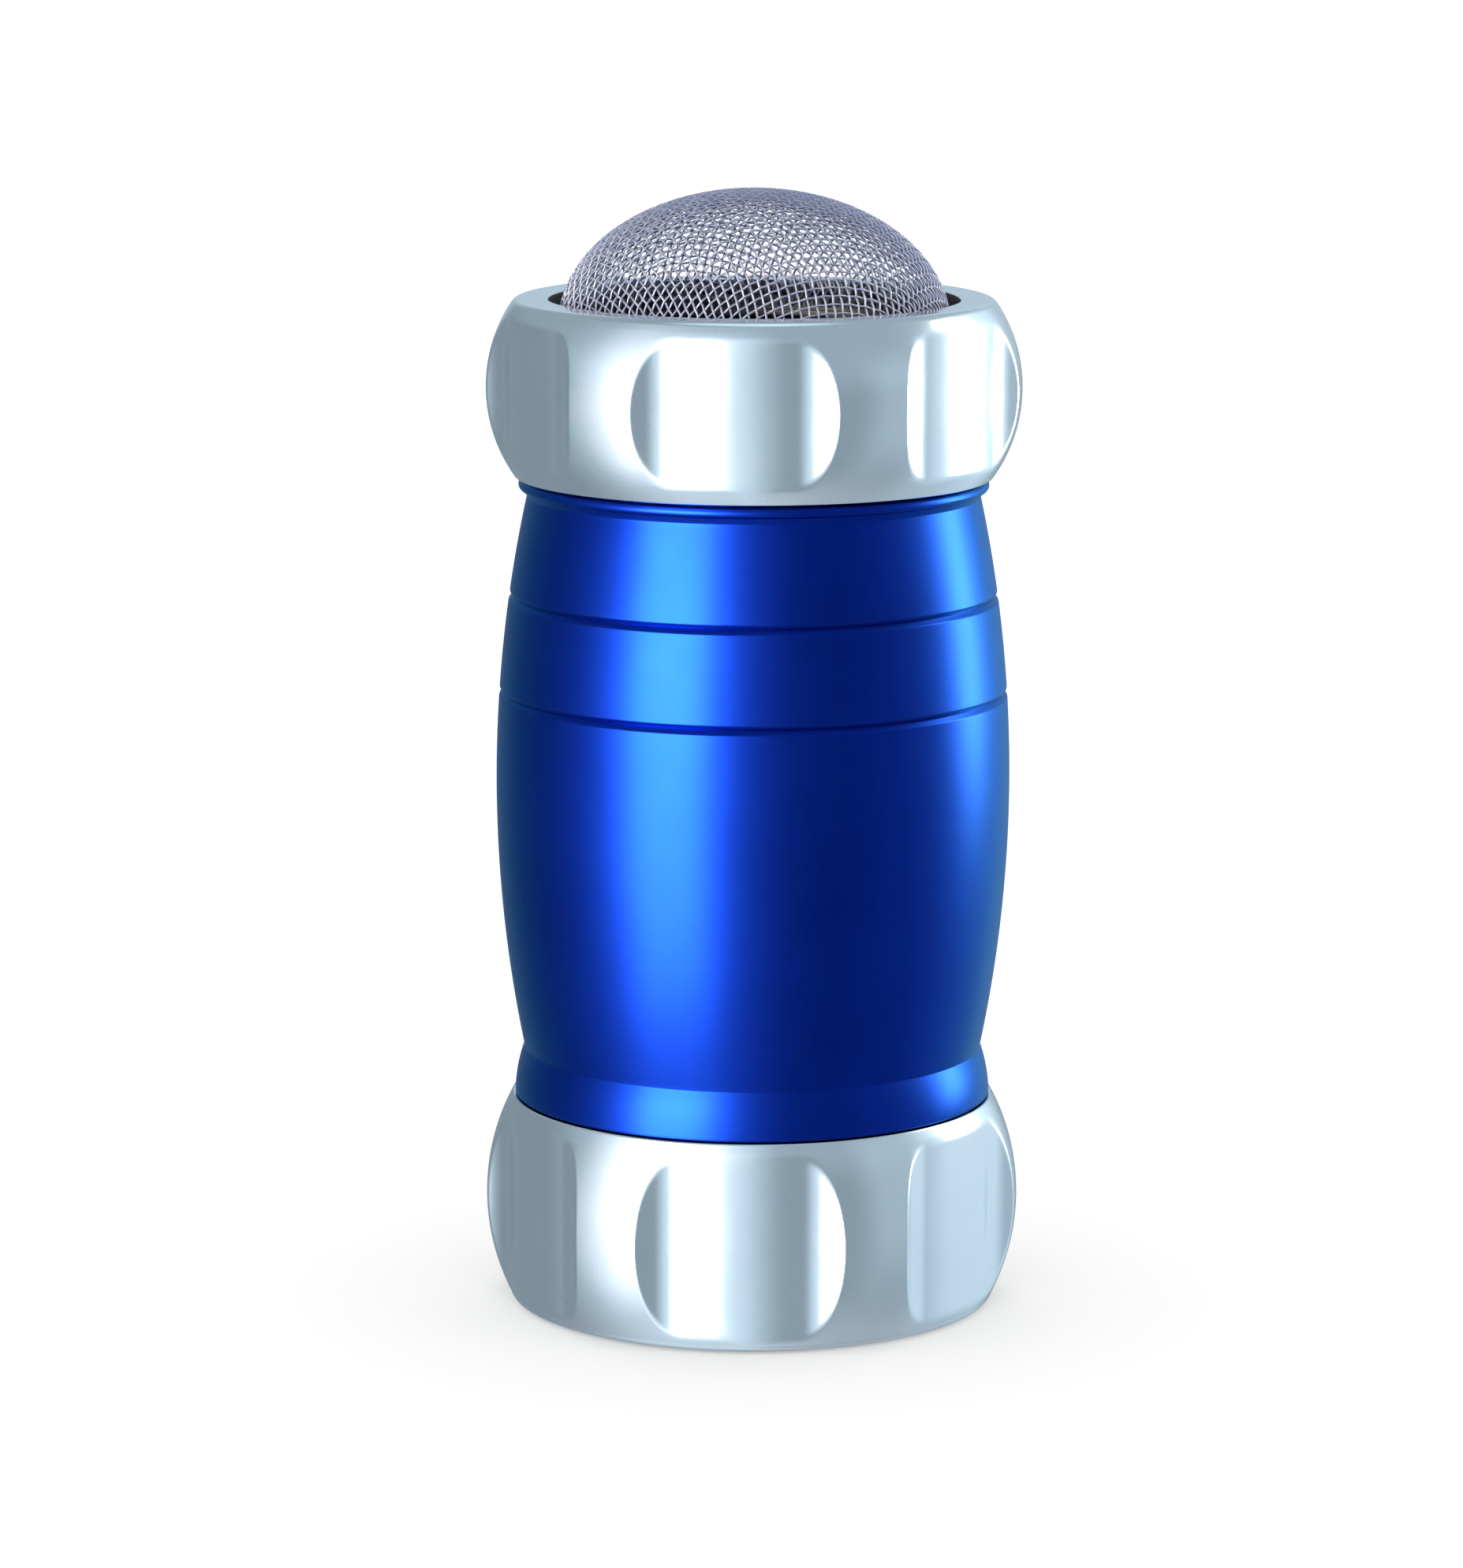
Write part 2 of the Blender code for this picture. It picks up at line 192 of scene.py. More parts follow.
# How far past a bore's surface a face may lie and still count as inside
INSIDE_SLACK = 0.00001
OPENING_SLACK = 0.00005


# Shapes


def arc_through(start, middle, end, steps):
    """Points (radius, height) along the circle through three points, both ends included."""
    (ax, ay), (bx, by), (cx, cy) = start, middle, end
    d = 2 * (ax * (by - cy) + bx * (cy - ay) + cx * (ay - by))
    a2, b2, c2 = ax * ax + ay * ay, bx * bx + by * by, cx * cx + cy * cy
    ux = (a2 * (by - cy) + b2 * (cy - ay) + c2 * (ay - by)) / d
    uy = (a2 * (cx - bx) + b2 * (ax - cx) + c2 * (bx - ax)) / d
    radius = math.hypot(ax - ux, ay - uy)
    first = math.atan2(ay - uy, ax - ux)
    last = math.atan2(cy - uy, cx - ux)
    sweep = math.remainder(last - first, math.tau)
    turns = [first + sweep * i / steps for i in range(steps + 1)]
    return [(ux + radius * math.cos(t), uy + radius * math.sin(t)) for t in turns]


def rounded(corners, steps=5, closed=True):
    """A profile of (radius, height) points from corners (radius, height, rounding)."""
    made = []
    count = len(corners)
    for i, (r, z, rounding) in enumerate(corners):
        at_end = not closed and i in (0, count - 1)
        if rounding <= 0.0 or at_end:
            made.append((r, z))
            continue
        here = Vector((r, z))
        back = Vector(corners[i - 1][:2]) - here
        ahead = Vector(corners[(i + 1) % count][:2]) - here
        half = back.angle(ahead) / 2
        # A rounding takes less than half of either side, so that two of them never meet
        radius = min(rounding, 0.48 * min(back.length, ahead.length) * math.tan(half))
        inward = (back.normalized() + ahead.normalized()).normalized()
        centre = here + inward * radius / math.sin(half)
        start = here + back.normalized() * radius / math.tan(half) - centre
        end = here + ahead.normalized() * radius / math.tan(half) - centre
        for k in range(steps + 1):
            made.append(tuple(centre + start.slerp(end, k / steps).normalized() * radius))
    return made


def plain(points):
    """Profile points as corners that stay sharp."""
    return [(r, z, 0.0) for r, z in points]


def ramp(value, low, high):
    """0 below low, 1 above high and smooth between."""
    share = np.clip((value - low) / (high - low), 0.0, 1.0)
    return share * share * (3 - 2 * share)


def grid_faces(rows, columns, wrap_rows, wrap_columns):
    """Quads of a grid of points, numbered row by row."""
    last_row = rows if wrap_rows else rows - 1
    last_column = columns if wrap_columns else columns - 1
    i, j = np.meshgrid(np.arange(last_row), np.arange(last_column), indexing="ij")
    below, above = i % rows, (i + 1) % rows
    left, right = j % columns, (j + 1) % columns
    quads = np.stack(
        [
            below * columns + left,
            below * columns + right,
            above * columns + right,
            above * columns + left,
        ],
        axis=-1,
    )
    return quads.reshape(-1, 4)


def make_piece(name, points, faces, material, body, nodes=()):
    """A smooth mesh piece on a body, which stands for the given solids, in the given material."""
    mesh = bpy.data.meshes.new(name)
    mesh.from_pydata([tuple(p) for p in points], [], [tuple(f) for f in faces])
    mesh.update()
    mesh.shade_smooth()
    mesh.materials.append(material)
    piece = bpy.data.objects.new(name, mesh)
    bpy.context.scene.collection.objects.link(piece)
    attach(piece, body)
    if nodes:
        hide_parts(*nodes)
    return piece


def even_shading(piece, angle=SHARP_ANGLE):
    """Keeps broad faces flat beside their small rounded edges."""
    piece.data.set_sharp_from_angle(angle=angle)
    weighted = piece.modifiers.new("even shading", "WEIGHTED_NORMAL")
    weighted.keep_sharp = True
    weighted.weight = 80


def turned_points(profile, turns):
    """Grid of points, one row per profile point, one column per turn."""
    profile = np.array(profile)
    radius, height = profile[:, :1], profile[:, 1:]
    flat = np.ones_like(turns)
    return np.stack([radius * np.cos(turns), radius * np.sin(turns), height * flat], axis=-1)


def turned_piece(name, profile, material, body, nodes=(), steps=TURN_STEPS):
    """A closed profile of (radius, height) points turned about the Z axis."""
    turns = np.arange(steps) * math.tau / steps
    points = turned_points(profile, turns)
    faces = grid_faces(len(profile), steps, True, True)
    piece = make_piece(name, points.reshape(-1, 3), faces, material, body, nodes)
    even_shading(piece)
    return piece


def finish_inside(piece, material, is_inside):
    """Gives a second material to the faces for which is_inside(radius, height) holds."""
    mesh = piece.data
    mesh.materials.append(material)
    middles = np.zeros(len(mesh.polygons) * 3)
    mesh.polygons.foreach_get("center", middles)
    middles = middles.reshape(-1, 3)
    inside = is_inside(np.hypot(middles[:, 0], middles[:, 1]), middles[:, 2])
    mesh.polygons.foreach_set("material_index", inside.astype(np.int32))


# Finger grips


def soft_min(a, b, soft):
    """The lower of two values, blended where they are closer than soft."""
    near = np.clip(soft - np.abs(a - b), 0.0, None) / soft
    return np.minimum(a, b) - near * near * soft / 4


def grip_cut(turn):
    """Radius of the pockets' cut, a round floor with hollow sides.

    The turn is counted from the middle of the first pocket.
    """
    sector = math.tau / GRIP_COUNT
    away = np.abs((turn + sector / 2) % sector - sector / 2)
    past = np.clip(away - GRIP_FLOOR_HALF, 0.0, GRIP_SIDE_REACH)
    centre = GRIP_FLOOR_RADIUS + GRIP_SIDE_ROUND
    return centre * np.cos(past) - np.sqrt(GRIP_SIDE_ROUND**2 - (centre * np.sin(past)) ** 2)


def stepped(stops, counts):
    """Values from stop to stop, in the given numbers of even steps.

    A stop may be an array, with one value per row.
    """
    spans = zip(stops[:-1], stops[1:], counts)
    runs = [np.linspace(a, b, n, endpoint=False, axis=-1) for a, b, n in spans]
    return np.concatenate(runs + [np.asarray(stops[-1])[..., None]], axis=-1)


class GripSide:
    """A bulging side with finger grips, and a grid on it that follows the pockets' edges."""

    def __init__(self, height, radius, edge_radius):
        rise = radius - edge_radius
        self.height = height
        self.widest = radius
        self.bulge = (height * height / 4 + rise * rise) / (2 * rise)

    def crown(self, z):
        """Radius of the bulge without its grips."""
        across = np.sqrt(self.bulge * self.bulge - (z - self.height / 2) ** 2)
        return self.widest - self.bulge + across

    def radius(self, z, turn):
        """Radius of the side with its grips."""
        return soft_min(self.crown(z), grip_cut(turn), GRIP_EDGE_SOFT)

    def grid(self, low, high):
        """Height and turn of every point, close together at the edges of the pockets."""
        near = GRIP_EDGE_BAND
        drop = self.widest - GRIP_FLOOR_RADIUS
        half_tall = math.sqrt(drop * (2 * self.bulge - drop))
        foot, head = self.height / 2 - half_tall, self.height / 2 + half_tall
        edges = [low, foot - near, foot + near, head - near, head + near, high]
        rows = stepped(edges, [8, 12, 52, 12, 8])
        past = np.linspace(0.0, GRIP_SIDE_REACH, 300)
        cut = grip_cut(GRIP_FLOOR_HALF + past)
        mouth = GRIP_FLOOR_HALF + np.interp(self.crown(rows), cut, past)
        sector = math.tau / GRIP_COUNT
        band = near / self.widest
        start, end = np.zeros_like(mouth), np.full_like(mouth, sector / 2)
        floor_end = np.full_like(mouth, GRIP_FLOOR_HALF - 2 * band)
        half = stepped([start, floor_end, mouth - band, mouth + band, end], [8, 14, 14, 5])
        once = np.concatenate([half, sector - half[:, -2:0:-1]], axis=1)
        turns = np.concatenate([once + k * sector for k in range(GRIP_COUNT)], axis=1)
        return np.repeat(rows[:, None], turns.shape[1], axis=1), turns


def side_normals(radius, z, turn, around):
    """Outward directions on a side whose radius is a function of height and turn."""
    step = 2e-6
    swing = step / GRIP_RADIUS
    climb = (radius(z + step, turn) - radius(z - step, turn)) / (2 * step)
    lean = (radius(z, turn + swing) - radius(z, turn - swing)) / (2 * swing) / radius(z, turn)
    x = np.cos(around) + lean * np.sin(around)
    y = np.sin(around) - lean * np.cos(around)
    out = np.stack([x, y, -climb], axis=-1)
    return out / np.linalg.norm(out, axis=-1, keepdims=True)


def grip_piece(name, below, side, above, level, spin, materials, is_inside):
    """A turned piece whose bulging side has finger grips, on the body of the same name.

    below and above are the profiles (radius, height) that lead to the side and away from it. side
    is the side with its lowest and highest height. Faces where is_inside(radius, height) holds
    take the second material.
    """
    z, turn = side[0].grid(*side[1:])
    radius = side[0].radius
    around = turn + FRONT + spin
    r = radius(z, turn)
    flank = np.stack([r * np.cos(around), r * np.sin(around), z], axis=-1)
    lower, upper = turned_points(below, around[0]), turned_points(above, around[-1])
    points = np.concatenate([lower, flank, upper])
    rows, columns = points.shape[:2]
    closed = below[0][0] > AXIS_HOLE
    quads = grid_faces(rows, columns, closed, True)
    placed = points.reshape(-1, 3) + (0.0, 0.0, level)
    faces = quads.tolist()
    if not closed:
        faces += [list(range(columns))[::-1], list(range((rows - 1) * columns, rows * columns))]
    outer, inner = materials
    piece = make_piece(name + "_body", placed, faces, outer, name, (name,))
    mesh = piece.data
    finish_inside(piece, inner, lambda r, z: is_inside(r, z - level))

    # True normals on the side, so that the pockets' edges shade as smooth rounds
    mesh.set_sharp_from_angle(angle=SHARP_ANGLE)
    shading = np.zeros(len(mesh.loops) * 3, np.float32)
    mesh.corner_normals.foreach_get("vector", shading)
    shading = shading.reshape(-1, 3)
    first, last = len(below), len(below) + len(z) - 1
    on_side = quads[first * columns : last * columns].ravel() - first * columns
    normals = side_normals(radius, z, turn, around).reshape(-1, 3)
    shading[first * columns * 4 : last * columns * 4] = normals[on_side]
    mesh.normals_split_custom_set(shading)


# Threads


def thread_piece(name, root, depth, span, phase, material, body):
    """A ridge along a right-hand helix, standing off its root by depth, run out at both ends.

    span is its lower and upper level.
    """
    start, end = span
    turns = (end - start) / THREAD_PITCH
    count = int(turns * THREAD_STEPS) + 1
    turn = np.linspace(0.0, turns * math.tau, count)
    rise = start + THREAD_PITCH * turn / math.tau
    grown = ramp(np.minimum(turn, turn[-1] - turn), 0.0, THREAD_RUN_OUT)[:, None]
    inset = math.copysign(THREAD_SUNK, -depth)
    section = np.array(
        [
            (inset, -THREAD_ROOT_HALF),
            (0.35 * depth, -0.72 * THREAD_ROOT_HALF),
            (0.86 * depth, -THREAD_CREST_HALF - THREAD_CREST_ROUND),
            (depth, -0.6 * THREAD_CREST_HALF),
            (depth, 0.6 * THREAD_CREST_HALF),
            (0.86 * depth, THREAD_CREST_HALF + THREAD_CREST_ROUND),
            (0.35 * depth, 0.72 * THREAD_ROOT_HALF),
            (inset, THREAD_ROOT_HALF),
        ]
    )
    stand = np.where(np.abs(section[:, 0]) > abs(inset), section[:, 0], 0.0)
    low = np.where(stand == 0.0, section[:, 0], 0.0)
    radius = root + low + stand * grown + inset * (1 - grown) * (stand != 0.0)
    height = rise[:, None] + section[:, 1] * (0.5 + 0.5 * grown)
    angle = turn[:, None] + phase
    points = np.stack([radius * np.cos(angle), radius * np.sin(angle), height], axis=-1)
    sides = len(section)
    faces = grid_faces(count, sides, False, True).tolist()
    faces.append(list(range(sides)))
    faces.append(list(range(count * sides - 1, (count - 1) * sides - 1, -1)))
    piece = make_piece(name, points.reshape(-1, 3), faces, material, body, ())
    face_outward(piece)
    even_shading(piece, THREAD_SHARP_ANGLE)
    return piece


def face_outward(piece):
    """Turns every face of a closed mesh outward."""
    shape = bmesh.new()
    shape.from_mesh(piece.data)
    bmesh.ops.recalc_face_normals(shape, faces=shape.faces)
    shape.to_mesh(piece.data)
    shape.free()


# Mesh


class Dome:
    """The dome's surface by the length from its crown: a quarter ellipse, then straight down."""

    def __init__(self):
        turn = np.linspace(0.0, math.pi / 2, 400)
        radius = DOME_RADIUS * np.sin(turn)
        height = DOME_FOOT_LEVEL + DOME_HEIGHT * np.cos(turn)
        length = np.concatenate([[0.0], np.cumsum(np.hypot(np.diff(radius), np.diff(height)))])
        self.reach = length[-1]
        tail = 10 * WEAVE_PITCH
        self.length = np.append(length, self.reach + tail)
        self.radius = np.append(radius, DOME_RADIUS)
        self.height = np.append(height, DOME_FOOT_LEVEL - tail)
        self.climb = np.gradient(self.radius, self.length), np.gradient(self.height, self.length)

    def at(self, length, around):
        """Point at a length from the crown, and how it moves per length and per turn."""
        r = np.interp(length, self.length, self.radius)
        z = np.interp(length, self.length, self.height)
        dr, dz = (np.interp(length, self.length, run) for run in self.climb)
        out = np.array((math.cos(around), math.sin(around), 0.0))
        side = np.array((-math.sin(around), math.cos(around), 0.0))
        up = np.array((0.0, 0.0, 1.0))
        return out * r + up * z, out * dr + up * dz, side * r

    def normals(self, points):
        """Outward directions at points on the surface."""
        flat = np.hypot(points[:, 0], points[:, 1])
        length = np.where(
            points[:, 2] > DOME_FOOT_LEVEL,
            np.interp(flat, self.radius[:-1], self.length[:-1]),
            self.reach,
        )
        dr, dz = (np.interp(length, self.length, run) for run in self.climb)
        out = points[:, :2] / np.maximum(flat, 1e-9)[:, None]
        normal = np.concatenate([out * -dz[:, None], dr[:, None]], axis=-1)
        return normal / np.linalg.norm(normal, axis=-1, keepdims=True)


def pressed_net(dome):
    """Crossings of one quarter of a cloth pressed to the dome.

    Wires don't stretch, so every crossing stays one pitch from its neighbours and the squares
    shear into diamonds between the two wires over the crown. Crossings past the dome's edge are
    left out.
    """
    count = int(dome.reach / WEAVE_PITCH) + 3
    limit = dome.reach + 2.5 * WEAVE_PITCH
    places = {(0, 0): (0.0, math.pi / 4)}
    for i in range(1, count):
        places[i, 0] = (i * WEAVE_PITCH, 0.0)
        places[0, i] = (i * WEAVE_PITCH, math.pi / 2)
    for i in range(1, count):
        for j in range(1, count):
            if (i - 1, j) not in places or (i, j - 1) not in places:
                break
            before, beside = dome.at(*places[i - 1, j])[0], dome.at(*places[i, j - 1])[0]
            corner = dome.at(*places[i - 1, j - 1])[0]
            guess = before + beside - corner
            length = max(places[i - 1, j][0], places[i, j - 1][0]) + 0.5 * WEAVE_PITCH
            around = math.atan2(guess[1], guess[0])
            for _ in range(12):
                here, per_length, per_turn = dome.at(length, around)
                gaps = np.array((here - before, here - beside))
                miss = (gaps**2).sum(axis=1) - WEAVE_PITCH**2
                moves = 2 * gaps @ np.stack([per_length, per_turn], axis=-1)
                step = np.linalg.solve(moves, miss)
                length -= float(np.clip(step[0], -WEAVE_PITCH, WEAVE_PITCH))
                around -= float(np.clip(step[1], -0.3, 0.3))
            if length > limit:
                break
            places[i, j] = (length, around)
    return {key: dome.at(*place)[0] for key, place in places.items() if place[0] <= limit}


def crossing(net, i, j):
    """A crossing of the whole cloth, from its quarter, or None past the edge."""
    for quarter in range(4):
        if i > 0 and j >= 0 or i == j == 0:
            break
        i, j = j, -i
    if (i, j) not in net:
        return None
    x, y, z = net[i, j]
    for _ in range(quarter % 4):
        x, y = -y, x
    return x, y, z


def through(points, per_cell):
    """A smooth path through points, in even shares of each stretch between two of them."""
    points = np.array(points)
    ends = np.concatenate([[2 * points[0] - points[1]], points, [2 * points[-1] - points[-2]]])
    t = (np.arange(per_cell) / per_cell)[None, :, None]
    a, b, c, d = (ends[k : len(ends) - 3 + k][:, None, :] for k in range(4))
    squared = t**2 * (a - 2.5 * b + 2 * c - d / 2)
    cubed = t**3 * (1.5 * (b - c) + (d - a) / 2)
    path = b + t * (c - a) / 2 + squared + cubed
    return np.concatenate([path.reshape(-1, 3), points[-1:]])


def tube(path, normal, radius, sides):
    """Points of a round wire along a path, one ring of points per path point."""
    along = np.gradient(path, axis=0)
    along /= np.linalg.norm(along, axis=-1, keepdims=True)
    across = np.cross(along, normal)
    across /= np.linalg.norm(across, axis=-1, keepdims=True)
    up = np.cross(across, along)
    turn = (np.arange(sides) * math.tau / sides)[None, :, None]
    ring = across[:, None, :] * np.cos(turn) + up[:, None, :] * np.sin(turn)
    return path[:, None, :] + radius * ring


def weave_piece(name, lengthwise, material, net, dome):
    """Every wire of one direction of the plain weave, each over and under the wires across it."""
    count = int(dome.reach / WEAVE_PITCH)
    cos, sin = math.cos(WEAVE_TURN), math.sin(WEAVE_TURN)
    turned = np.array([[cos, sin, 0.0], [-sin, cos, 0.0], [0.0, 0.0, 1.0]])
    sides, per_cell = WIRE_SIDES, WIRE_STEPS
    points, faces, total = [], [], 0
    for i in range(-count, count + 1):
        met = []
        for j in range(-count - 3, count + 4):
            place = crossing(net, i, j) if lengthwise else crossing(net, j, i)
            if place is not None:
                met.append((j, place))
        if len(met) < 5:
            continue
        path = through([place for _, place in met], per_cell)
        along = met[0][0] + np.arange(len(path)) / per_cell
        kept = path[:, 2] > DOME_FOOT_LEVEL
        path, along = path[kept], along[kept]
        over = np.cos(math.pi * along) * (-1.0) ** i
        over = over if lengthwise else -over
        normal = dome.normals(path)
        path = (path + normal * (over * WEAVE_CRIMP)[:, None]) @ turned
        normal = normal @ turned
        rings = tube(path, normal, WEAVE_WIRE / 2, sides)
        points.append(rings.reshape(-1, 3))
        faces.extend((grid_faces(len(path), sides, False, True) + total).tolist())
        faces.append([total + k for k in range(sides)][::-1])
        faces.append([total + len(path) * sides - sides + k for k in range(sides)])
        total += len(path) * sides
    points = np.concatenate(points)
    make_piece(name, points, faces, material, "sieve", ("mesh_dome",))


# Looks


class Looks:
    """A material whose nodes are added one call at a time."""

    def __init__(self, name):
        self.material = bpy.data.materials.new(name)
        self.material.use_nodes = True
        self.tree = self.material.node_tree
        self.shader = self.tree.nodes["Principled BSDF"]

    def node(self, kind, inputs=None, **settings):
        """A new node with its inputs and settings."""
        made = self.tree.nodes.new(kind)
        for key, value in settings.items():
            setattr(made, key, value)
        for key, value in (inputs or {}).items():
            self.give(made.inputs[key], value)
        return made

    def give(self, socket, value):
        """Links another node's output to a socket, or sets the socket to a plain value."""
        if isinstance(value, bpy.types.NodeSocket):
            self.tree.links.new(value, socket)
        else:
            socket.default_value = value

    def set(self, inputs):
        """Sets inputs of the main shader."""
        for key, value in inputs.items():
            self.give(self.shader.inputs[key], value)

    def place(self):
        """Place on the piece, in metres."""
        return self.node("ShaderNodeTexCoord").outputs["Object"]

    def noise(self, where, scale, detail=3.0):
        """Cloudy values round 0.5."""
        inputs = {"Vector": where, "Scale": scale, "Detail": detail, "Roughness": 0.55}
        return self.node("ShaderNodeTexNoise", inputs).outputs["Fac"]

    def turning(self, where, lines_per_metre):
        """Fine lines left by turning: noise by the distance out and up, alike all the way round."""
        apart = self.node("ShaderNodeSeparateXYZ", {"Vector": where}).outputs
        out = self.node("ShaderNodeCombineXYZ", {"X": apart["X"], "Y": apart["Y"]}).outputs[0]
        radius = self.node("ShaderNodeVectorMath", {0: out}, operation="LENGTH").outputs["Value"]
        run = self.node("ShaderNodeMath", {0: radius, 1: apart["Z"]}, operation="ADD").outputs[0]
        inputs = {"W": run, "Scale": lines_per_metre, "Detail": 2.0}
        return self.node("ShaderNodeTexNoise", inputs, noise_dimensions="1D").outputs["Fac"]

    def spread(self, value, low, high, source=(0.3, 0.7)):
        """The value stretched from its usual span to low..high."""
        inputs = {"Value": value, "To Min": low, "To Max": high}
        inputs.update({"From Min": source[0], "From Max": source[1]})
        return self.node("ShaderNodeMapRange", inputs).outputs["Result"]

    def shade(self, value, dark, light):
        """A colour between dark and light."""
        made = self.node("ShaderNodeMix", {"Factor": value}, data_type="RGBA")
        self.give(made.inputs[6], (*dark, 1.0))
        self.give(made.inputs[7], (*light, 1.0))
        return made.outputs[2]

    def bump(self, height, strength, distance, under=None):
        """A bumped normal, on top of another one where it is given."""
        inputs = {"Height": height, "Strength": strength, "Distance": distance}
        made = self.node("ShaderNodeBump", inputs)
        if under is not None:
            self.give(made.inputs["Normal"], under)
        return made.outputs["Normal"]


def blue_anodised():
    """The barrel: turned, then anodised a deep blue."""
    looks = Looks("blue_anodised_aluminium")
    where = looks.place()
    cloud = looks.noise(where, 90.0)
    grain = looks.noise(where, 9000.0, 2.0)
    lines = looks.turning(where, 5200.0)
    dark, light = (0.0030, 0.0210, 0.275), (0.0035, 0.0240, 0.310)
    colour = looks.shade(looks.spread(cloud, 0.0, 1.0), dark, light)
    looks.set({"Base Color": colour, "Metallic": 1.0})
    looks.set({"Roughness": looks.spread(grain, 0.305, 0.345)})
    looks.set({"Specular Tint": (0.62, 1.0, 1.0, 1.0)})
    fine = looks.bump(lines, 0.035, 0.00004)
    looks.set({"Normal": looks.bump(grain, 0.05, 0.00002, fine)})
    return looks.material


def satin_aluminium():
    """The screw pieces: finely turned, satin to bright."""
    looks = Looks("satin_aluminium")
    where = looks.place()
    cloud = looks.noise(where, 140.0)
    grain = looks.noise(where, 7000.0, 2.0)
    lines = looks.turning(where, 4200.0)
    dark, light = (0.84, 0.885, 0.92), (0.87, 0.91, 0.94)
    colour = looks.shade(looks.spread(cloud, 0.0, 1.0), dark, light)
    looks.set({"Base Color": colour, "Metallic": 1.0})
    looks.set({"Roughness": looks.spread(cloud, 0.122, 0.142)})
    fine = looks.bump(lines, 0.03, 0.00004)
    looks.set({"Normal": looks.bump(grain, 0.04, 0.00002, fine)})
    return looks.material


def stainless_steel(name, dark, light, rough, metallic, foot=None):
    """Steel sheet or wire. foot, if given, is the levels between which painted shade, darker
    towards the bottom, fades out.
    """
    looks = Looks(name)
    where = looks.place()
    cloud = looks.noise(where, 220.0)
    grain = looks.noise(where, 12000.0, 2.0)
    colour = looks.shade(looks.spread(cloud, 0.0, 1.0), dark, light)
    # Painted shade: the colour darkens towards the foot, where the wires sit in the ring.
    if foot:
        level = looks.node("ShaderNodeSeparateXYZ", {"Vector": where}).outputs["Z"]
        inputs = {0: colour, "Scale": looks.spread(level, FOOT_PAINTED_SHADE, 1.0, foot)}
        colour = looks.node("ShaderNodeVectorMath", inputs, operation="SCALE").outputs[0]
    looks.set({"Base Color": colour, "Metallic": metallic})
    looks.set({"Roughness": looks.spread(grain, rough - 0.05, rough + 0.05)})
    looks.set({"Normal": looks.bump(grain, 0.08, 0.00002)})
    return looks.material


def painted_shade_insides():
    """The insides: turned metal, nearly black as painted shade where little light gets in."""
    looks = Looks("insides_painted_shade")
    where = looks.place()
    cloud = looks.noise(where, 180.0)
    lines = looks.turning(where, 3600.0)
    dark, light = (0.060, 0.056, 0.064), (0.078, 0.074, 0.083)
    looks.set({"Base Color": looks.shade(looks.spread(cloud, 0.0, 1.0), dark, light)})
    looks.set({"Metallic": 0.0, "Specular IOR Level": 0.2})
    looks.set({"Roughness": looks.spread(lines, 0.50, 0.60)})
    looks.set({"Normal": looks.bump(lines, 0.25, 0.00005)})
    return looks.material


def silicone():
    """The seals: matte grey rubber."""
    looks = Looks("seal_silicone")
    where = looks.place()
    cloud = looks.noise(where, 160.0)
    grain = looks.noise(where, 4200.0, 3.0)
    dark, light = (0.40, 0.40, 0.385), (0.46, 0.46, 0.442)
    looks.set({"Base Color": looks.shade(looks.spread(cloud, 0.0, 1.0), dark, light)})
    looks.set({"Roughness": looks.spread(grain, 0.52, 0.66)})
    looks.set({"Normal": looks.bump(grain, 0.12, 0.00006)})
    return looks.material


# Pieces


def lining_profile():
    """The bulging part of the barrel's bore, from below up."""
    return arc_through(
        (WAIST_RADIUS - BARREL_WALL, WAIST_LEVEL),
        (BARREL_RADIUS - BARREL_WALL, (WAIST_LEVEL + SHOULDER_LEVEL) / 2),
        (SHOULDER_RADIUS - BARREL_WALL, SHOULDER_LEVEL),
        steps=40,
    )


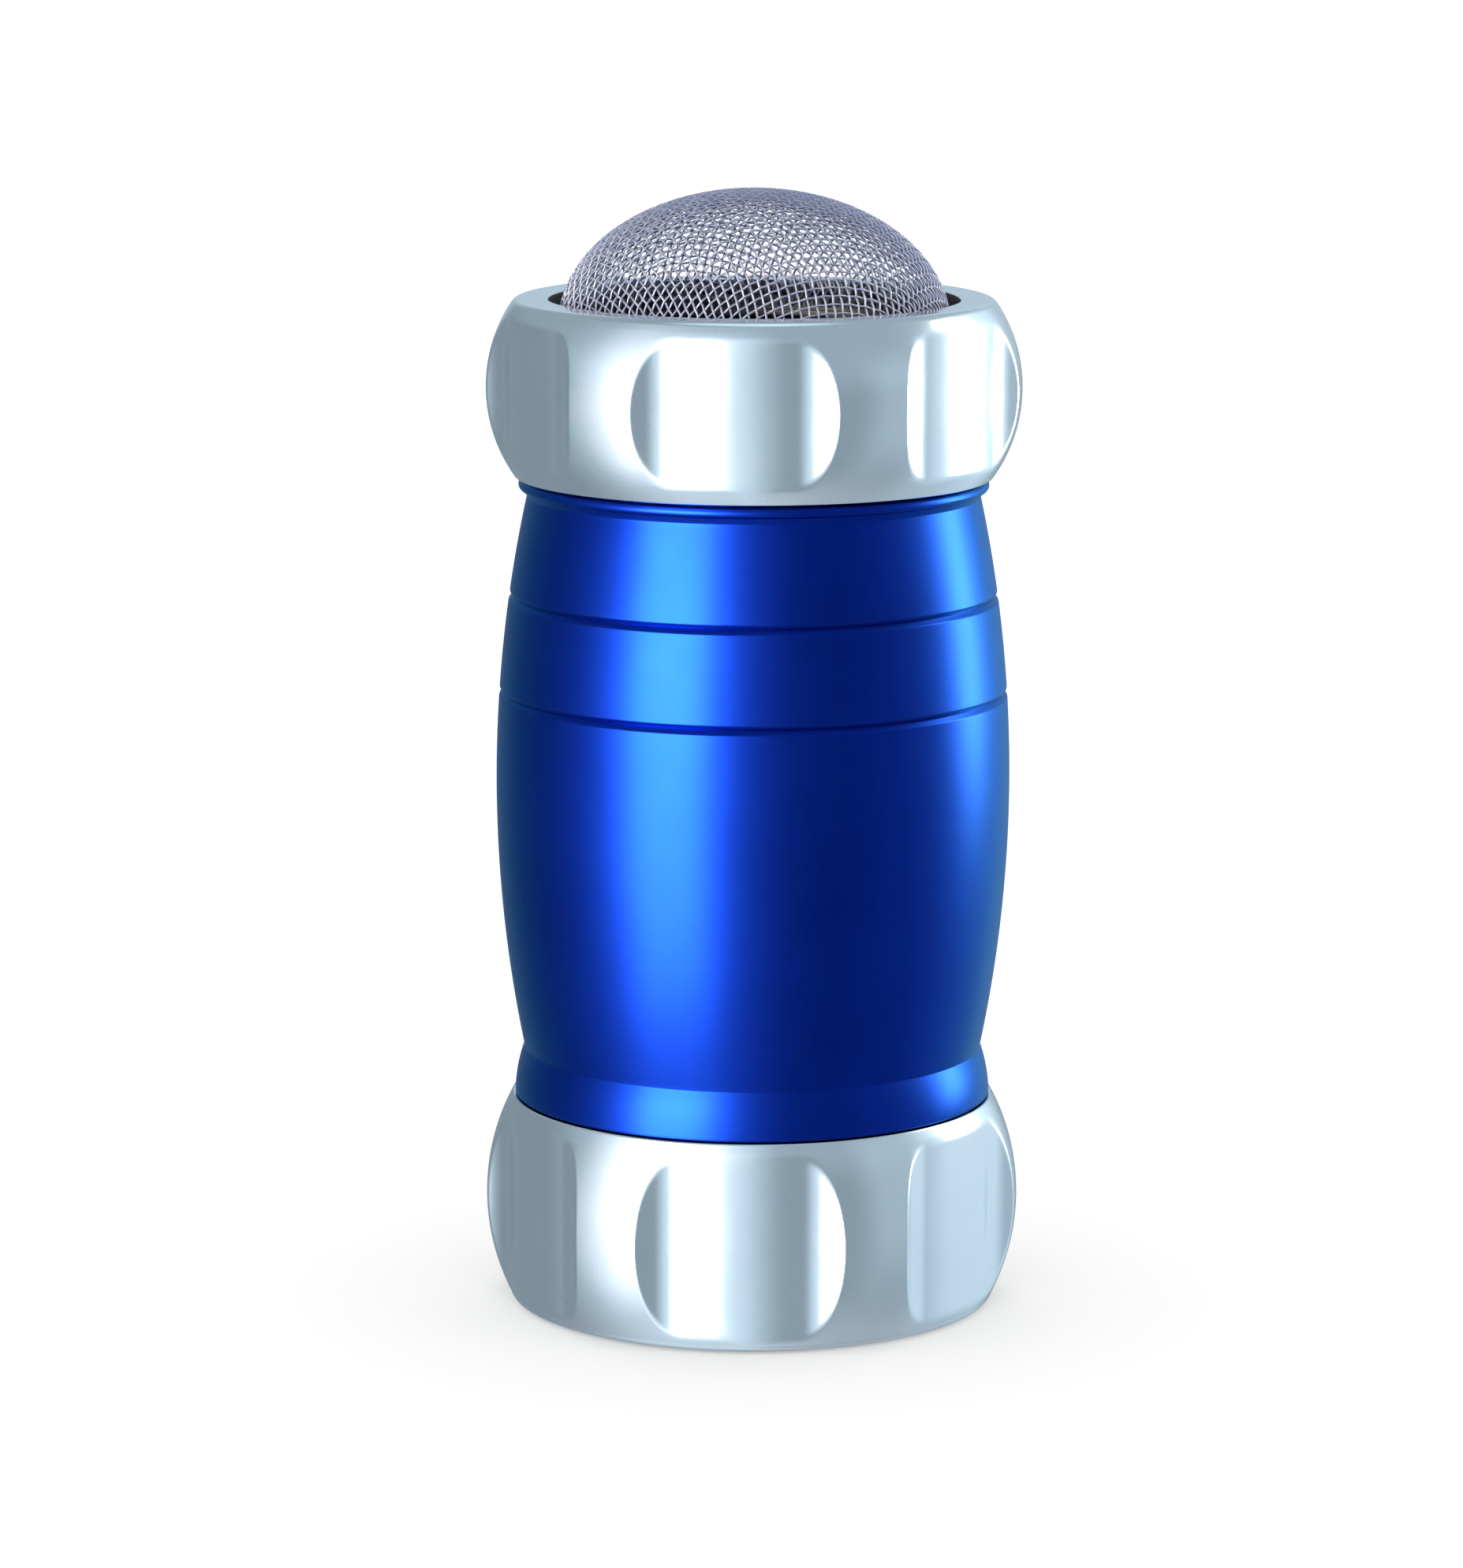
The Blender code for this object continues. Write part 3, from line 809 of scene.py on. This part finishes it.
def barrel_profile():
    """The barrel from the lower neck's edge up the outside and down the bore."""
    waist, shoulder = (WAIST_RADIUS, WAIST_LEVEL), (SHOULDER_RADIUS, SHOULDER_LEVEL)
    middle = (BARREL_RADIUS, (WAIST_LEVEL + SHOULDER_LEVEL) / 2)
    bulge = np.array(arc_through(waist, middle, shoulder, steps=110))
    reach = GROOVE_WIDTH * 0.6
    grooves = [np.linspace(level - reach, level + reach, 41) for level in GROOVE_LEVELS]
    heights = np.concatenate([bulge[1:-1, 1], *grooves])
    heights = np.unique(np.round(heights, 6))
    radii = np.interp(heights, bulge[:, 1], bulge[:, 0])
    for level in GROOVE_LEVELS:
        across = np.abs(heights - level) / (GROOVE_WIDTH / 2)
        radii -= GROOVE_DEPTH * (1 - soft_min(across, np.ones_like(across), GROOVE_SOFT))
    outside = list(zip(radii, heights))
    lining = lining_profile()
    foot = arc_through(
        (FOOT_RADIUS, BARREL_LEVEL - FOOT_LIP),
        (
            FOOT_RADIUS - FOOT_HOLLOW * (FOOT_RADIUS - WAIST_RADIUS),
            (BARREL_LEVEL + WAIST_LEVEL) / 2,
        ),
        waist,
        steps=12,
    )
    roll = (BEAD_TOP_LEVEL - BEAD_LEVEL) / 2
    roll_middle = (BEAD_RADIUS - roll, BEAD_LEVEL + roll)
    bead = [
        (roll_middle[0] + roll * math.cos(t), roll_middle[1] + roll * math.sin(t))
        for t in np.linspace(-math.pi / 2, math.pi / 2, 13)
    ]
    corners = [
        (NECK_BORE, NECK_FOOT_LEVEL, EDGE_ROUND),
        (NECK_RADIUS - NECK_CHAMFER, NECK_FOOT_LEVEL, EDGE_ROUND),
        (NECK_RADIUS, NECK_FOOT_LEVEL + NECK_CHAMFER, EDGE_ROUND),
        (NECK_RADIUS, BARREL_LEVEL, EDGE_ROUND),
        (FOOT_RADIUS - FOOT_LIP_WIDTH, BARREL_LEVEL, 0.0),
        (*foot[0], FOOT_EDGE_ROUND),
        *plain(foot[1:-1]),
        (*foot[-1], WAIST_ROUND),
        *plain(outside),
        (*shoulder, SHOULDER_ROUND),
        *plain(bead),
        (NECK_RADIUS, BEAD_TOP_LEVEL, EDGE_ROUND),
        (NECK_RADIUS, NECK_TOP_LEVEL - NECK_CHAMFER, EDGE_ROUND),
        (NECK_RADIUS - NECK_CHAMFER, NECK_TOP_LEVEL, EDGE_ROUND),
        (NECK_BORE, NECK_TOP_LEVEL, EDGE_ROUND),
        (NECK_BORE, UPPER_BORE_LEVEL, BORE_ROUND),
        *plain(reversed(lining)),
        (NECK_BORE, LOWER_BORE_LEVEL, BORE_ROUND),
    ]
    return rounded(corners)


def build_barrel(material, inner):
    """The bulging tube with a threaded neck at each end."""
    profile = barrel_profile()
    piece = turned_piece("barrel_body", profile, material, "barrel", ("barrel",))
    bore = [(NECK_BORE, LOWER_BORE_LEVEL), *lining_profile(), (NECK_BORE, UPPER_BORE_LEVEL)]
    radii, heights = zip(*bore)
    finish_inside(piece, inner, lambda r, z: r < np.interp(z, heights, radii) + BARREL_WALL / 4)
    threads = {"barrel_thread_upper": UPPER_NECK_THREAD, "barrel_thread_lower": LOWER_NECK_THREAD}
    for name, span in threads.items():
        thread = thread_piece(name, NECK_RADIUS, THREAD_DEPTH, span, 0.0, material, "barrel")


def build_base_cap(materials):
    """The cup with finger grips, its shallow recess underneath and its threaded bore."""
    side = GripSide(BASE_HEIGHT, GRIP_RADIUS, BASE_EDGE_RADIUS)
    low, high = BASE_FOOT_HEIGHT, BASE_HEIGHT - SIDE_EDGE_HEIGHT
    foot_inner = (BASE_EDGE_RADIUS - BASE_FOOT_INSET, 0.0)
    foot_outer = (float(side.crown(low)), low)
    below = rounded(
        [
            (AXIS_HOLE, BASE_RECESS_DEPTH, 0.0),
            (BASE_RECESS_RADIUS, BASE_RECESS_DEPTH, EDGE_ROUND),
            (BASE_RECESS_RADIUS + BASE_RECESS_DEPTH, 0.0, EDGE_ROUND),
            (*foot_inner, 0.0),
        ],
        closed=False,
    )
    foot = arc_through(foot_inner, BASE_FOOT_MIDDLE, foot_outer, steps=8)
    above = rounded(
        [
            (BASE_EDGE_RADIUS - SIDE_EDGE_INSET, BASE_HEIGHT, 0.0),
            (CAP_BORE, BASE_HEIGHT, EDGE_ROUND),
            (CAP_BORE, BASE_FLOOR, BASE_FLOOR_ROUND),
            (AXIS_HOLE, BASE_FLOOR, 0.0),
        ],
        closed=False,
    )

    def is_inside(r, z):
        return (r < CAP_BORE + INSIDE_SLACK) & (z > BASE_FLOOR - INSIDE_SLACK)

    below += foot[1:-1]
    grip_piece("base_cap", below, (side, low, high), above, 0.0, 0.0, materials, is_inside)
    thread_piece(
        "base_cap_thread",
        CAP_BORE,
        -THREAD_DEPTH,
        BASE_CAP_THREAD,
        phase=math.pi,
        material=materials[1],
        body="base_cap",
    )


def build_top_ring(materials):
    """The screw ring with finger grips, its flange round the dome and its threaded bore."""
    side = GripSide(RING_HEIGHT, RING_RADIUS, RING_EDGE_RADIUS)
    low, high = SIDE_EDGE_HEIGHT, RING_HEIGHT - RING_SHOULDER
    flange = RING_HEIGHT - RING_FLANGE
    below = rounded(
        [
            (CAP_BORE, flange, 0.0),
            (CAP_BORE, 0.0, RING_BORE_ROUND),
            (RING_EDGE_RADIUS - SIDE_EDGE_INSET, 0.0, 0.0),
        ],
        closed=False,
    )
    above = rounded(
        [
            (float(side.crown(high)), high, 0.0),
            (RING_EDGE_RADIUS, RING_HEIGHT, RING_SHOULDER_ROUND),
            (RING_OPENING, RING_HEIGHT, RING_OPENING_ROUND),
            (RING_OPENING, flange, EDGE_ROUND),
            (CAP_BORE - EDGE_ROUND, flange, 0.0),
        ],
        steps=9,
        closed=False,
    )

    def is_inside(r, z):
        in_opening = r < RING_OPENING + OPENING_SLACK
        in_bore = (r < CAP_BORE + INSIDE_SLACK) & (z < flange + RING_BORE_ROUND)
        return in_opening | in_bore

    grip_piece(
        "top_ring",
        below,
        (side, low, high),
        above[1:],
        RING_LEVEL,
        RING_STOP_ANGLE,
        materials,
        is_inside,
    )
    thread_piece(
        "top_ring_thread",
        CAP_BORE,
        -THREAD_DEPTH,
        TOP_RING_THREAD,
        phase=math.pi,
        material=materials[1],
        body="top_ring",
    )


def washer(name, inner, material, node):
    """A soft-edged flat washer where the node's solid lies, on the body of the same name."""
    low, high = levels(node)
    profile = rounded(
        [
            (inner, low, SEAL_ROUND),
            (SEAL_RADIUS, low, SEAL_ROUND),
            (SEAL_RADIUS, high, SEAL_ROUND),
            (inner, high, SEAL_ROUND),
        ]
    )
    turned_piece(name, profile, material, node, (node,), SEAL_STEPS)


def build_seals(material):
    """The washers that the base cap and the ring are screwed against."""
    washer("base_seal_washer", NECK_BORE, material, "base_seal")
    washer("sieve_seal_washer", SIEVE_SEAL_BORE, material, "sieve_seal")


def build_sieve(painted_shade_steel, wire):
    """The folded channel and the woven dome whose edge it binds."""
    inner, outer = RIM_SLOT_INNER - RIM_SHEET, RIM_SLOT_OUTER + RIM_SHEET
    flange = RIM_LEVEL + RIM_FLANGE
    slot_floor = RIM_LEVEL + RIM_SLOT_FLOOR
    lip = RIM_LEVEL + RIM_LIP
    profile = rounded(
        [
            (inner, RIM_LEVEL, EDGE_ROUND),
            (SEAL_RADIUS, RIM_LEVEL, RIM_FLANGE_ROUND),
            (SEAL_RADIUS, flange, RIM_FLANGE_ROUND),
            (outer, flange, EDGE_ROUND),
            (outer, RIM_TOP_LEVEL, RIM_SHEET_ROUND),
            (RIM_SLOT_OUTER, RIM_TOP_LEVEL, RIM_SHEET_ROUND),
            (RIM_SLOT_OUTER, slot_floor, EDGE_ROUND),
            (RIM_SLOT_INNER, slot_floor, EDGE_ROUND),
            (RIM_SLOT_INNER, lip, RIM_SHEET_ROUND),
            (inner, lip, RIM_SHEET_ROUND),
        ]
    )
    # The channel's steel is nearly black: painted shade, as it sits in the dark under the mesh.
    turned_piece("sieve_rim", profile, painted_shade_steel, "sieve", ("mesh_rim",), RIM_STEPS)
    dome = Dome()
    net = pressed_net(dome)
    weave_piece("sieve_warp", True, wire, net, dome)
    weave_piece("sieve_weft", False, wire, net, dome)


# Studio

CAMERA_TURN = math.radians(2.6)
CAMERA_TILT = math.radians(10.0)
CAMERA_ROLL = math.radians(0.18)
CAMERA_FAR = 0.7200
CAMERA_AIM = 0.065
IMAGE_WIDE, IMAGE_TALL = 1855, 1988
FOCAL_PIXELS = 7698
AIM_PIXEL = (954.8, 959.7)
SENSOR_HEIGHT = 36.0
VIEW_END = 20.0

# Floor, and the light of its own that the camera sees
WHITE = (1.0, 1.0, 1.0, 1.0)
FLOOR_LEVEL = -0.0002
FLOOR_RADIUS = 3.6
FLOOR_GLOW = 0.14

# Lamps and lit walls of the studio, as the shaker's middle sees them. Each has its brightness, 1
# being white, and the degrees between which it fades in and out again, first in azimuth to the
# right of the camera, then in elevation. The walls are a cool grey, the lamps are warm, and the
# glows, which are light that the lamps spill on the walls and the table, are nearly neutral.
TENT_RADIUS = 0.45
TENT_GREY = 0.5
WALL_TINT = (0.785, 1.0, 1.16)
LAMP_TINT = (1.12, 1.0, 0.66)
GLOW_TINT = (1.12, 1.0, 1.0)
WALL_GREY = 0.300
ALL_ROUND = (-400, -399, 399, 400)
STUDIO_LAMPS = {
    "softbox": (18.0, (-56, -53, -22, -19), (-32, -20, 18, 32)),
    "softbox_upper_half": (11.0, (-56, -53, -22, -19), (-24, 14, 18, 32)),
    "strip": (21.0, (101, 106, 112, 126), (-12, -4, 28, 42)),
}
STUDIO_GLOWS = {
    "softbox_glow": (0.45, (-86, -56, -22, -6), (-54, -32, 20, 70)),
    "table_glow": (0.09, ALL_ROUND, (-400, -399, -60, -35)),
}
STUDIO_WALLS = {
    "wall_by_softbox": (0.50, (-110, -45, -10, 16), (-90, -35, 20, 80)),
    "front_wall": (0.05, (-20, 10, 150, 175), ALL_ROUND),
    "wall_on_right": (0.16, (42, 60, 150, 175), (-55, -10, 15, 45)),
    "screen_by_strip": (0.30, (74, 106, 138, 160), (-70, -10, 15, 60)),
    "screen_upper_half": (0.26, (78, 106, 126, 150), (-20, -3, 30, 50)),
    "table": (0.20, (-160, -130, 10, 80), (-400, -399, -78, -50)),
    "overhead": (0.60, ALL_ROUND, (66, 82, 399, 400)),
    "back_wall_right": (0.28, (150, 172, 399, 400), (0, 7, 25, 50)),
    "back_wall_left": (0.28, (-400, -399, -172, -150), (0, 7, 25, 50)),
    "upper_wall": (0.08, ALL_ROUND, (10, 28, 60, 80)),
}


def fade(value, edges):
    """Fades in between the first two edges and out between the last two."""
    return ramp(value, edges[0], edges[1]) * (1 - ramp(value, edges[2], edges[3]))


def brightness_of(lights, azimuth, elevation):
    """Sum of several lights toward each direction, in degrees."""
    return sum(
        level * fade(azimuth, across) * fade(elevation, upright)
        for level, across, upright in lights.values()
    )


def studio_light(azimuth, elevation):
    """Colour that the studio shows toward the shaker from each direction, in degrees."""
    walls = WALL_GREY + brightness_of(STUDIO_WALLS, azimuth, elevation)[..., None]
    glows = brightness_of(STUDIO_GLOWS, azimuth, elevation)[..., None]
    lamps = brightness_of(STUDIO_LAMPS, azimuth, elevation)[..., None]
    return walls * WALL_TINT + glows * GLOW_TINT + lamps * LAMP_TINT


def build_studio():
    """A large round tent that only reflections see.

    It has grey walls, a soft light on the left and a strip on the right. A reflection that falls
    on a matte surface sees it plain grey instead, so the metal throws no bright patches.
    """
    columns, rows = 240, 120
    azimuth = np.linspace(-180.0, 180.0, columns + 1)
    elevation = np.linspace(-89.0, 89.0, rows + 1)
    el, az = np.meshgrid(elevation, azimuth, indexing="ij")
    turn = np.radians(az) + CAMERA_TURN + FRONT
    up = np.radians(el)
    toward = [np.cos(up) * np.cos(turn), np.cos(up) * np.sin(turn), np.sin(up)]
    points = np.stack(toward, axis=-1) * TENT_RADIUS + (0.0, 0.0, CAMERA_AIM)
    mesh = bpy.data.meshes.new("studio_tent")
    faces = grid_faces(rows + 1, columns + 1, False, False)
    mesh.from_pydata(points.reshape(-1, 3).tolist(), [], faces.tolist())
    light = mesh.color_attributes.new("light", "FLOAT_COLOR", "POINT")
    colour = studio_light(az, el).reshape(-1, 3)
    opaque = np.ones((len(colour), 1))
    light.data.foreach_set("color", np.concatenate([colour, opaque], axis=-1).ravel())

    looks = Looks("studio_tent")
    looks.tree.nodes.remove(looks.shader)
    read = looks.node("ShaderNodeAttribute", attribute_name="light")
    bounced = looks.node("ShaderNodeLightPath").outputs["Diffuse Depth"]
    seen = looks.node("ShaderNodeMath", {0: bounced, 1: 0.5}, operation="LESS_THAN").outputs[0]
    colour = looks.node("ShaderNodeMix", {"Factor": seen}, data_type="RGBA")
    looks.give(colour.inputs[6], (TENT_GREY, TENT_GREY, TENT_GREY, 1.0))
    looks.give(colour.inputs[7], read.outputs["Color"])
    shine = looks.node("ShaderNodeEmission", {"Color": colour.outputs[2], "Strength": 1.0})
    looks.tree.links.new(shine.outputs[0], looks.tree.nodes["Material Output"].inputs["Surface"])
    looks.material.cycles.emission_sampling = "NONE"
    mesh.materials.append(looks.material)
    tent = bpy.data.objects.new("studio_tent", mesh)
    bpy.context.scene.collection.objects.link(tent)
    tent.visible_camera = False
    tent.visible_diffuse = False
    tent.visible_transmission = False
    tent.visible_shadow = False


def build_floor():
    """A wide white disc.

    To the camera it has a little light of its own, so that it is white to its edge and the
    shaker's soft shadow stays faint.
    """
    rings, steps = np.concatenate([[0.02], np.geomspace(0.05, FLOOR_RADIUS, 24)]), 96
    turns = np.arange(steps) * math.tau / steps
    points = turned_points([(r, FLOOR_LEVEL) for r in rings], turns)
    faces = grid_faces(len(rings), steps, False, True).tolist()
    faces.append(list(range(steps)))
    mesh = bpy.data.meshes.new("floor")
    mesh.from_pydata(points.reshape(-1, 3).tolist(), [], faces)
    looks = Looks("floor")
    looks.set({"Base Color": WHITE, "Roughness": 0.9, "Specular IOR Level": 0.0})
    seen = looks.node("ShaderNodeLightPath").outputs["Is Camera Ray"]
    share = looks.node("ShaderNodeMath", {0: seen, 1: FLOOR_GLOW}, operation="MULTIPLY").outputs[0]
    own = looks.node("ShaderNodeEmission", {"Color": WHITE, "Strength": share}).outputs[0]
    both = looks.node("ShaderNodeAddShader", {0: looks.shader.outputs[0], 1: own}).outputs[0]
    looks.tree.links.new(both, looks.tree.nodes["Material Output"].inputs["Surface"])
    looks.material.cycles.emission_sampling = "NONE"
    mesh.materials.append(looks.material)
    floor = bpy.data.objects.new("floor", mesh)
    bpy.context.scene.collection.objects.link(floor)
    floor.visible_glossy = False


def build_world():
    """Plain white light from all round."""
    world = bpy.data.worlds.new("white_room")
    world.use_nodes = True
    background = world.node_tree.nodes["Background"]
    background.inputs["Color"].default_value = WHITE
    background.inputs["Strength"].default_value = 1.0
    bpy.context.scene.world = world


def build_camera():
    """The photo's camera, as fitted to the shaker's outline."""
    data = bpy.data.cameras.new("camera")
    data.sensor_fit = "VERTICAL"
    data.sensor_height = SENSOR_HEIGHT
    data.lens = FOCAL_PIXELS * SENSOR_HEIGHT / IMAGE_TALL
    data.shift_x = -(AIM_PIXEL[0] - IMAGE_WIDE / 2) / IMAGE_TALL
    data.shift_y = (AIM_PIXEL[1] - IMAGE_TALL / 2) / IMAGE_TALL
    data.clip_end = VIEW_END
    camera = bpy.data.objects.new("camera", data)
    back = Vector(
        (
            math.sin(CAMERA_TURN) * math.cos(CAMERA_TILT),
            -math.cos(CAMERA_TURN) * math.cos(CAMERA_TILT),
            math.sin(CAMERA_TILT),
        )
    )
    camera.location = Vector((0.0, 0.0, CAMERA_AIM)) + CAMERA_FAR * back
    roll = Matrix.Rotation(CAMERA_ROLL, 3, "Z")
    camera.rotation_euler = (back.to_track_quat("Z", "Y").to_matrix() @ roll).to_euler()
    bpy.context.scene.collection.objects.link(camera)
    bpy.context.scene.camera = camera


blue = blue_anodised()
silver = satin_aluminium()
# The insides are nearly black: painted shade where little light reaches.
inside = painted_shade_insides()
# The rim's steel is nearly black: painted shade, as it sits in the dark under the mesh.
painted_shade_steel = stainless_steel(
    "stainless_steel",
    dark=(0.066, 0.066, 0.082),
    light=(0.084, 0.084, 0.102),
    rough=0.50,
    metallic=1.0,
)
# The wires, with painted shade at their foot inside the ring.
wire = stainless_steel(
    "stainless_wire",
    dark=(0.355, 0.380, 0.545),
    light=(0.400, 0.425, 0.605),
    rough=0.58,
    metallic=0.6,
    foot=FOOT_PAINTED_SHADE_LEVELS,
)
build_barrel(blue, inside)
build_base_cap((silver, inside))
build_top_ring((silver, inside))
build_seals(silicone())
build_sieve(painted_shade_steel, wire)
build_studio()
build_floor()
build_world()
build_camera()
bpy.context.scene.view_settings.view_transform = "Standard"
